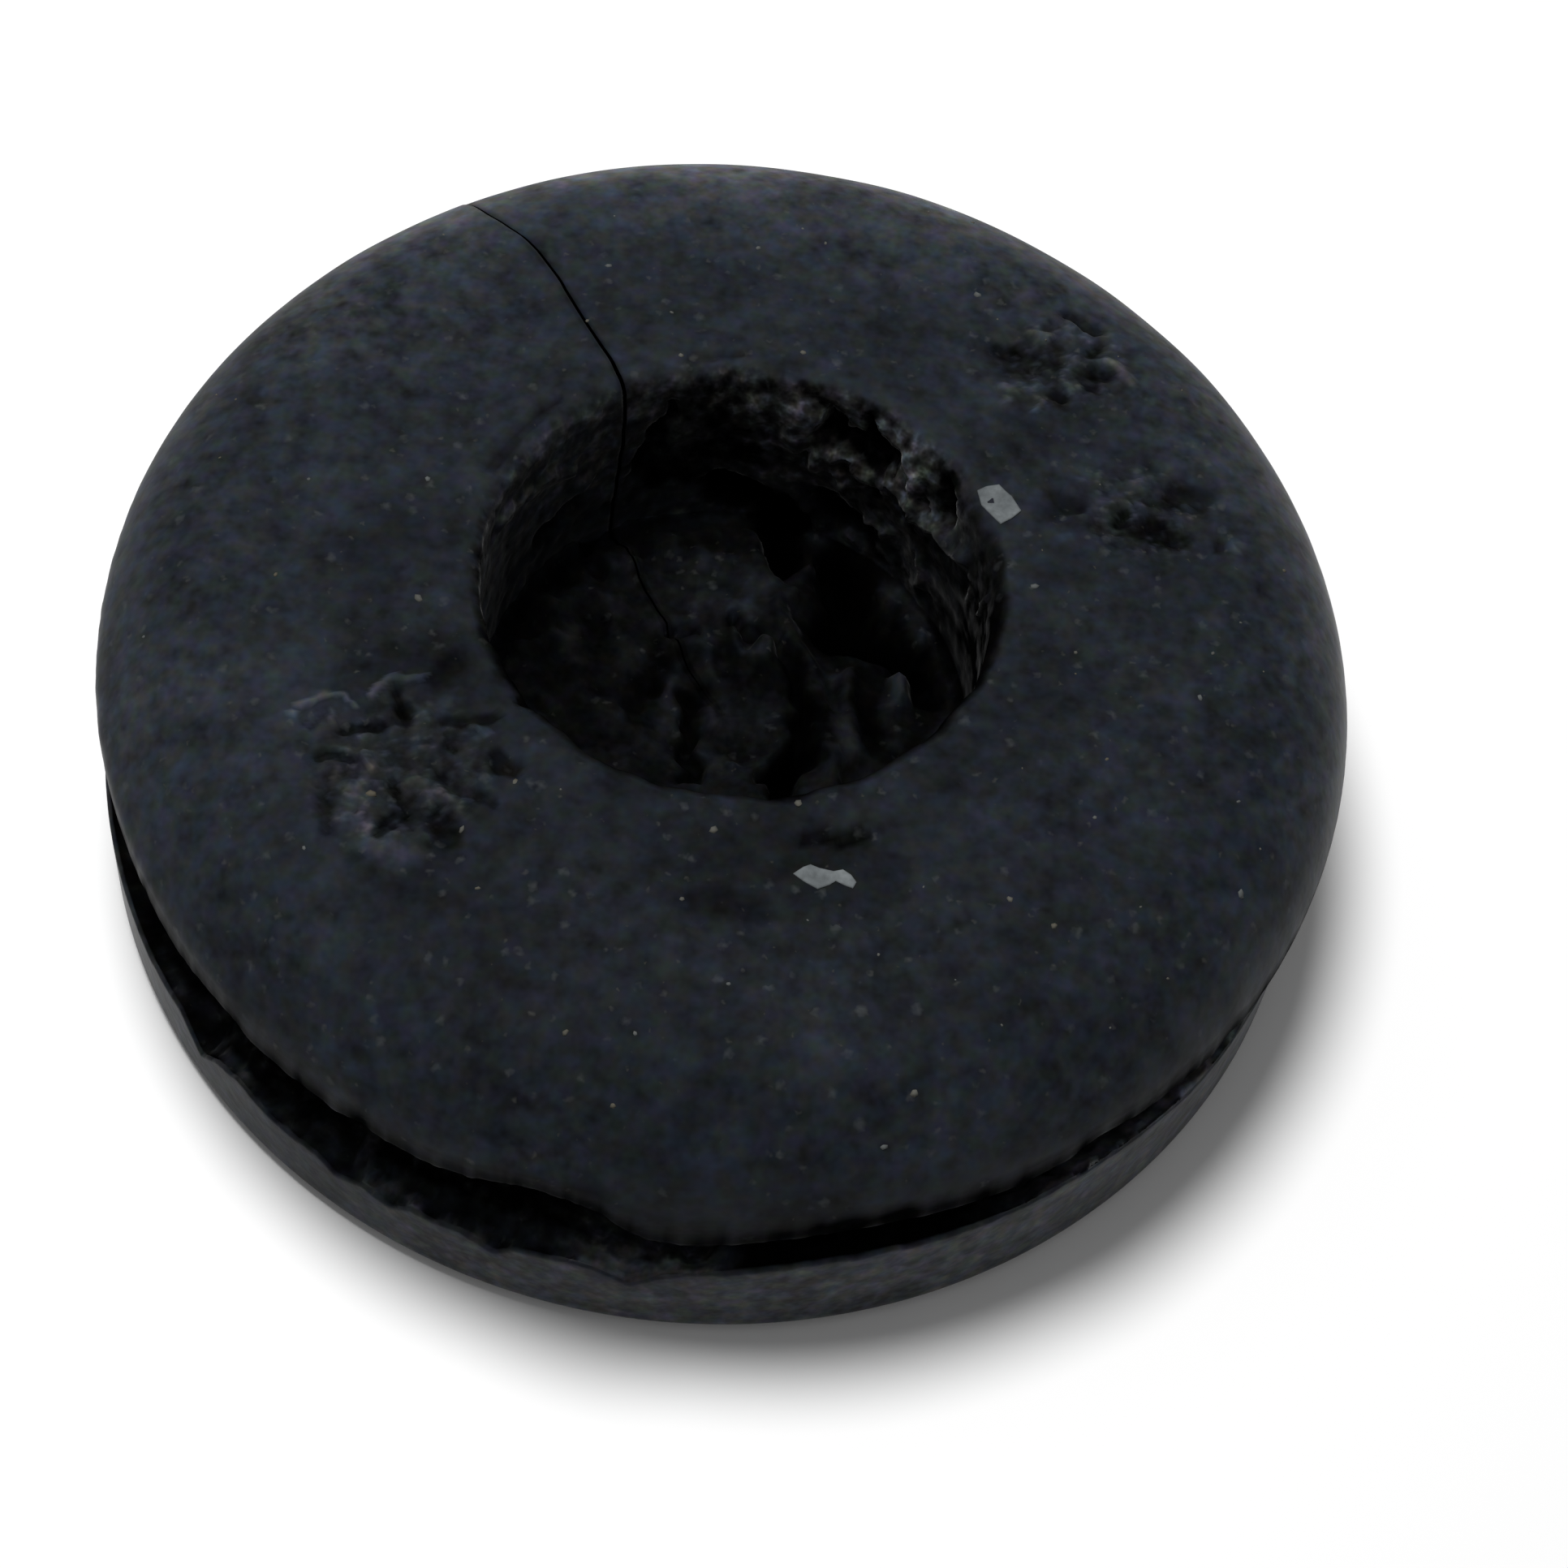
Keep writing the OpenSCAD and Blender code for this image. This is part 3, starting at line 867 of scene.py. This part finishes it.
dust = {
    "grains": [(-4.76, -1.2, 0.06), (-2.91, 6.06, 0.05), (-0.52, 6.93, 0.05), (-1.46, 4.31, 0.05),
               (0.48, 4.74, 0.06), (0.24, -4.59, 0.07), (3.63, -8.17, 0.08), (0.79, -7.08, 0.05),
               (-2.76, -4.23, 0.07), (1.42, -3.9, 0.07), (5.37, -5.32, 0.06), (4.68, -5.0, 0.06),
               (8.16, -4.01, 0.06), (4.6, 0.69, 0.05), (7.3, -0.91, 0.05), (-1.39, -8.17, 0.06),
               (3.31, -8.86, 0.05), (-4.8, -4.78, 0.08), (-3.4, -5.15, 0.05), (3.2, 6.6, 0.06),
               (-3.0, -6.1, 0.04), (-5.6, -5.8, 0.04)],  # (x, y, radius)
    "scattered": 45,
    "nearest": 4.6,
    "farthest": 9.2,
    "flatness": 0.5,
    "sunk": 0.1,
    "roughness": 0.15,
}
flakes = [
    {"name": "flake_by_hole", "thickness": 0.05, "outline": [
        (3.55, 2.42), (3.68, 2.50), (3.88, 2.58), (4.0, 2.46), (4.1, 2.38), (4.27, 2.12), (4.14, 1.95),
        (3.97, 1.8), (3.84, 1.94), (3.78, 2.0), (3.64, 2.16)]},
    {"name": "flake_in_front", "thickness": 0.04, "outline": [
        (1.49, -5.13), (1.62, -5.0), (1.72, -4.94), (1.86, -4.98), (2.07, -5.0), (2.2, -4.95),
        (2.33, -5.02), (2.42, -5.13), (2.38, -5.24), (2.24, -5.2), (2.12, -5.15), (2.04, -5.23),
        (1.87, -5.33), (1.65, -5.23)]},
]


def surfaceAt(x, y):
    place, normal, _, _ = surface.ray_cast(Vector((x * mm, y * mm, 10 * mm)), Vector((0, 0, -1)))
    return place, normal


def makeGrains():
    chance = random.Random(5)
    spots = list(dust["grains"])
    width = dust["farthest"] - dust["nearest"]
    for _ in range(dust["scattered"]):
        spread, angle = dust["nearest"] + width * chance.random() ** 0.6, chance.uniform(0, 2 * math.pi)
        spots.append((spread * math.cos(angle), spread * math.sin(angle), 0.02 + 0.03 * chance.random() ** 2))
    bm = bmesh.new()
    for x, y, size in spots:
        place, normal = surfaceAt(x, y)
        made = bmesh.ops.create_icosphere(bm, subdivisions=1, radius=size * mm)["verts"]
        stretch = Vector((chance.uniform(0.8, 1.5), chance.uniform(0.7, 1.1), dust["flatness"]))
        bmesh.ops.scale(bm, verts=made, vec=stretch)
        turned = normal.to_track_quat("Z", "Y").to_matrix() @ Matrix.Rotation(chance.uniform(0, 6.28), 3, "Z")
        bmesh.ops.rotate(bm, verts=made, matrix=turned, cent=(0, 0, 0))
        bmesh.ops.translate(bm, verts=made, vec=place - normal * dust["sunk"] * size * mm)
        jolt = dust["roughness"]
        for vert in made:
            vert.co += Vector([chance.uniform(-jolt, jolt) * size * mm for _ in range(3)])
    return newPiece("dust_grains", bm)


def makeFlake(flake):
    bm = bmesh.new()
    made = bmesh.ops.create_circle(bm, cap_ends=True, segments=len(flake["outline"]), radius=1)["verts"]
    for vert, (x, y) in zip(made, flake["outline"]):
        height = max(surfaceAt(x, y)[0].z, 5.8 * mm)  # it bridges any pit under it
        vert.co = Vector((x * mm, y * mm, height - 0.02 * mm))
    raised = bmesh.ops.extrude_face_region(bm, geom=bm.faces[:])["geom"]
    tops = [item for item in raised if isinstance(item, bmesh.types.BMVert)]
    bmesh.ops.translate(bm, verts=tops, vec=(0, 0, flake["thickness"] * mm))
    caps = [item for item in raised if isinstance(item, bmesh.types.BMFace)]
    bmesh.ops.inset_region(bm, faces=caps, thickness=0.03 * mm, use_even_offset=True)
    bmesh.ops.recalc_face_normals(bm, faces=bm.faces[:])
    return newPiece(flake["name"], bm)


grains = makeGrains()
flakePieces = [makeFlake(flake) for flake in flakes]
print("dust and flakes laid")


# Materials

class Wire:
    def __init__(self, tree, socket=None):
        self.tree = tree
        self.socket = socket

    def add(self, kind, settings=None, inputs=None, output=0):
        node = self.tree.nodes.new(kind)
        for name, value in (settings or {}).items():
            setattr(node, name, value)
        for name, value in (inputs or {}).items():
            if isinstance(value, Wire):
                self.tree.links.new(value.socket, node.inputs[name])
            else:
                node.inputs[name].default_value = value
        return Wire(self.tree, node.outputs[output] if node.outputs else None)

    def math(self, operation, first, second):
        return self.add("ShaderNodeMath", {"operation": operation}, {0: first, 1: second})

    def __add__(self, other):
        return self.math("ADD", self, other)

    def __radd__(self, other):
        return self.math("ADD", other, self)

    def __sub__(self, other):
        return self.math("SUBTRACT", self, other)

    def __rsub__(self, other):
        return self.math("SUBTRACT", other, self)

    def __mul__(self, other):
        return self.math("MULTIPLY", self, other)

    def __rmul__(self, other):
        return self.math("MULTIPLY", other, self)

    def __truediv__(self, other):
        return self.math("DIVIDE", self, other)

    def __rtruediv__(self, other):
        return self.math("DIVIDE", other, self)

    def __pow__(self, other):
        return self.math("POWER", self, other)

    def __rpow__(self, other):
        return self.math("POWER", other, self)


def newMaterial(name):
    material = bpy.data.materials.new(name)
    material.use_nodes = True
    tree = material.node_tree
    tree.nodes.clear()
    return material, Wire(tree)


rubberLook = {
    "bloom": (0.0095, 0.0123, 0.0160, 1),
    # Colour of unbloomed rubber, also taken where painted shade is deep
    "bareAndShaded": (0.0100, 0.0102, 0.0099, 1),
    # Paler colour, taken where the tone is highest, as under the painted sheen on the rim
    "dustyAndLit": (0.0128, 0.0136, 0.0148, 1),
    "blue": (0.95, 0.95, 1.26, 1),
    "yellow": (1.05, 1.05, 0.80, 1),
    "red": (1.12, 0.93, 1.0, 1),
    "green": (0.88, 1.07, 1.0, 1),
    "paleSpeck": (0.065, 0.072, 0.075, 1),
    "brownSpeck": (0.065, 0.055, 0.034, 1),
    # (scale, size, share, strength)
    "specks": ((0.9, 0.10, 0.5, 0.5), (1.7, 0.085, 0.5, 0.38), (3.6, 0.08, 0.85, 0.3)),
    "roughness": 0.72,
    "specular": 0.08,
    "bareRoughness": 0.9,
    "sheen": 0.17,
    "sheenRoughness": 0.35,
    "bumpStrength": 0.5,
    "bumpDepth": 0.03 * mm,
}


def outputOf(wire, name):
    return Wire(wire.tree, wire.socket.node.outputs[name])


def noiseOf(place, scale, detail=2.0, offset=0.0):
    apart = (offset, offset * 1.7, offset * 0.6)
    moved = place.add("ShaderNodeVectorMath", {"operation": "ADD"}, {0: place, 1: apart})
    return place.add("ShaderNodeTexNoise", None, {"Vector": moved, "Scale": scale, "Detail": detail})


def scaled(color, factor):
    return color.add("ShaderNodeVectorMath", {"operation": "SCALE"}, {0: color, "Scale": factor})


def multiplied(color, other):
    return color.add("ShaderNodeVectorMath", {"operation": "MULTIPLY"}, {0: color, 1: other})


def mixed(factor, first, second):
    return factor.add("ShaderNodeMix", {"data_type": "RGBA"}, {0: factor, 6: first, 7: second}, 2)


def between(factor, first, second):
    return mixed(clamped((factor - 0.35) * 3.3), rubberLook[first], rubberLook[second])


def clamped(value):
    return value.add("ShaderNodeClamp", None, {"Value": value})


def specks(place, scale, size, share):
    cells = place.add("ShaderNodeTexVoronoi", None, {"Vector": place, "Scale": scale})
    split = place.add("ShaderNodeSeparateColor", None, {"Color": outputOf(cells, "Color")})
    taken = place.math("GREATER_THAN", outputOf(split, "Red"), 1 - share)
    grade = outputOf(split, "Green")
    reach = size * scale * (0.25 + 1.1 * grade * grade)
    return clamped((reach - cells) / (0.8 * reach)) * taken, grade


def rubberMaterial():
    material, tree = newMaterial("aged_rubber")
    place = scaled(tree.add("ShaderNodeTexCoord", None, None, "Object"), 1 / mm)
    rough = tree.add("ShaderNodeAttribute", {"attribute_name": "rough"}, None, "Fac")
    crumb = noiseOf(place, 4.2, 2.0, 31)
    tone = tree.add("ShaderNodeAttribute", {"attribute_name": "tone"}, None, "Fac")
    tone = tone * 2 ** (rough * (8 * crumb - 4))
    wide = noiseOf(place, 0.8, 3.0)
    middle = noiseOf(place, 2.6, 2.0, 5)
    fine = noiseOf(place, 6.0, 1.0, 9)
    level = 1.6 * wide + 1.9 * middle + 0.9 * fine - 1.2
    # Where painted shade lowers the tone, the colour turns to the unbloomed rubber's; where painted light
    # raises it, to the paler one
    color = mixed(clamped(tone * 1.6 - 0.2) * (1 - 0.75 * rough), rubberLook["bareAndShaded"], rubberLook["bloom"])
    color = mixed(clamped(tone * 0.45 - 0.55), color, rubberLook["dustyAndLit"])
    color = multiplied(color, between(noiseOf(place, 4.0, 2.0, 13), "blue", "yellow"))
    color = multiplied(color, between(noiseOf(place, 3.6, 2.0, 43), "red", "green"))
    color = scaled(color, clamped(level * 0.5) * 2 * tone)
    kept = clamped(tone * 2 - 0.2)
    bend = scaled(outputOf(noiseOf(place, 9.0, 1.0, 21), "Color"), 0.16)
    bent = place.add("ShaderNodeVectorMath", {"operation": "ADD"}, {0: place, 1: bend})
    for scale, size, share, strength in rubberLook["specks"]:
        spot, grade = specks(bent, scale, size, share)
        speckColor = mixed(grade, rubberLook["brownSpeck"], rubberLook["paleSpeck"])
        color = mixed(spot * kept * strength, color, speckColor)
    height = 0.7 * middle + 0.25 * fine + 2.5 * rough * crumb
    normal = tree.add("ShaderNodeBump", None, {
        "Strength": rubberLook["bumpStrength"], "Distance": rubberLook["bumpDepth"], "Height": height})
    bloomed = tree.add("ShaderNodeBsdfPrincipled", None, {
        "Base Color": color,
        "Normal": normal,
        "Roughness": rubberLook["roughness"],
        "Specular IOR Level": rubberLook["specular"],
        "Sheen Weight": rubberLook["sheen"],
        "Sheen Roughness": rubberLook["sheenRoughness"],
    })
    bareAndShaded = tree.add("ShaderNodeBsdfPrincipled", None, {
        "Base Color": color,
        "Normal": normal,
        "Roughness": rubberLook["bareRoughness"],
        "Specular IOR Level": 0,
    })
    # Where the painted shade is deep, a copy of the rubber without sheen or reflection takes over
    surface = tree.add("ShaderNodeMixShader", None, {0: clamped(tone * 1.5 - 0.35), 1: bareAndShaded, 2: bloomed})
    tree.add("ShaderNodeOutputMaterial", None, {"Surface": surface})
    return material


dustLook = {
    "dust": ((0.085, 0.092, 0.092, 1), (0.075, 0.068, 0.05, 1)),  # (pale, brown)
    "chalky_flake": ((0.15, 0.165, 0.17, 1), (0.085, 0.095, 0.10, 1)),
    "roughness": 0.85,
    "specular": 0.2,
}


def dustMaterial(name):
    material, tree = newMaterial(name)
    place = scaled(tree.add("ShaderNodeTexCoord", None, None, "Object"), 1 / mm)
    color = mixed(clamped(noiseOf(place, 1.3, 1.0, 3) * 4 - 1.5), *dustLook[name])
    color = scaled(color, 0.55 + 0.9 * noiseOf(place, 9.0, 2.0, 6))
    shader = tree.add("ShaderNodeBsdfPrincipled", None, {
        "Base Color": color, "Roughness": dustLook["roughness"], "Specular IOR Level": dustLook["specular"]})
    tree.add("ShaderNodeOutputMaterial", None, {"Surface": shader})
    return material


grommet.data.materials.append(rubberMaterial())
grains.data.materials.append(dustMaterial("dust"))
chalk = dustMaterial("chalky_flake")
for piece in flakePieces:
    piece.data.materials.append(chalk)
print("materials made")


# Floor and light

studio = {
    "floorTone": 0.8,
    "shownTone": 1.0,  # the floor's tone where it is seen, which keeps it white
    "floorSize": 0.6,
    "keyPlace": (-0.02, 0.013, 0.12),
    "keySize": 0.044,
    "keyPower": 0.137,
    "skyStrength": 0.215,
}


def makeFloor():
    bm = bmesh.new()
    bmesh.ops.create_grid(bm, x_segments=1, y_segments=1, size=studio["floorSize"] / 2)
    floor = newPiece("floor", bm)
    material, tree = newMaterial("pale_floor")
    rays = tree.add("ShaderNodeLightPath", None, None, "Is Camera Ray")
    shown = tree.math("MAXIMUM", rays, outputOf(rays, "Is Glossy Ray"))
    shown = tree.math("MAXIMUM", shown, outputOf(rays, "Is Transmission Ray"))
    tone = studio["floorTone"] + shown * (studio["shownTone"] - studio["floorTone"])
    color = tree.add("ShaderNodeCombineColor", None, {"Red": tone, "Green": tone, "Blue": tone})
    diffuse = tree.add("ShaderNodeBsdfDiffuse", None, {"Color": color})
    tree.add("ShaderNodeOutputMaterial", None, {"Surface": diffuse})
    floor.data.materials.append(material)


def makeLights():
    world = bpy.data.worlds.new("studio")
    bpy.context.scene.world = world
    world.use_nodes = True
    backdrop = world.node_tree.nodes["Background"]
    backdrop.inputs["Color"].default_value = (1, 1, 1, 1)
    backdrop.inputs["Strength"].default_value = studio["skyStrength"]
    data = bpy.data.lights.new("key", "AREA")
    data.shape = "DISK"
    data.size = studio["keySize"]
    data.energy = studio["keyPower"]
    key = bpy.data.objects.new("key", data)
    bpy.context.scene.collection.objects.link(key)
    place = Vector(studio["keyPlace"])
    key.matrix_world = Matrix.Translation(place) @ place.to_track_quat("Z", "Y").to_matrix().to_4x4()


makeFloor()
makeLights()
bpy.context.scene.view_settings.view_transform = "Standard"
print("floor and light set")

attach(grommet, "root")
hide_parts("grommet")
for piece in [grains] + flakePieces:
    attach(piece, "root")
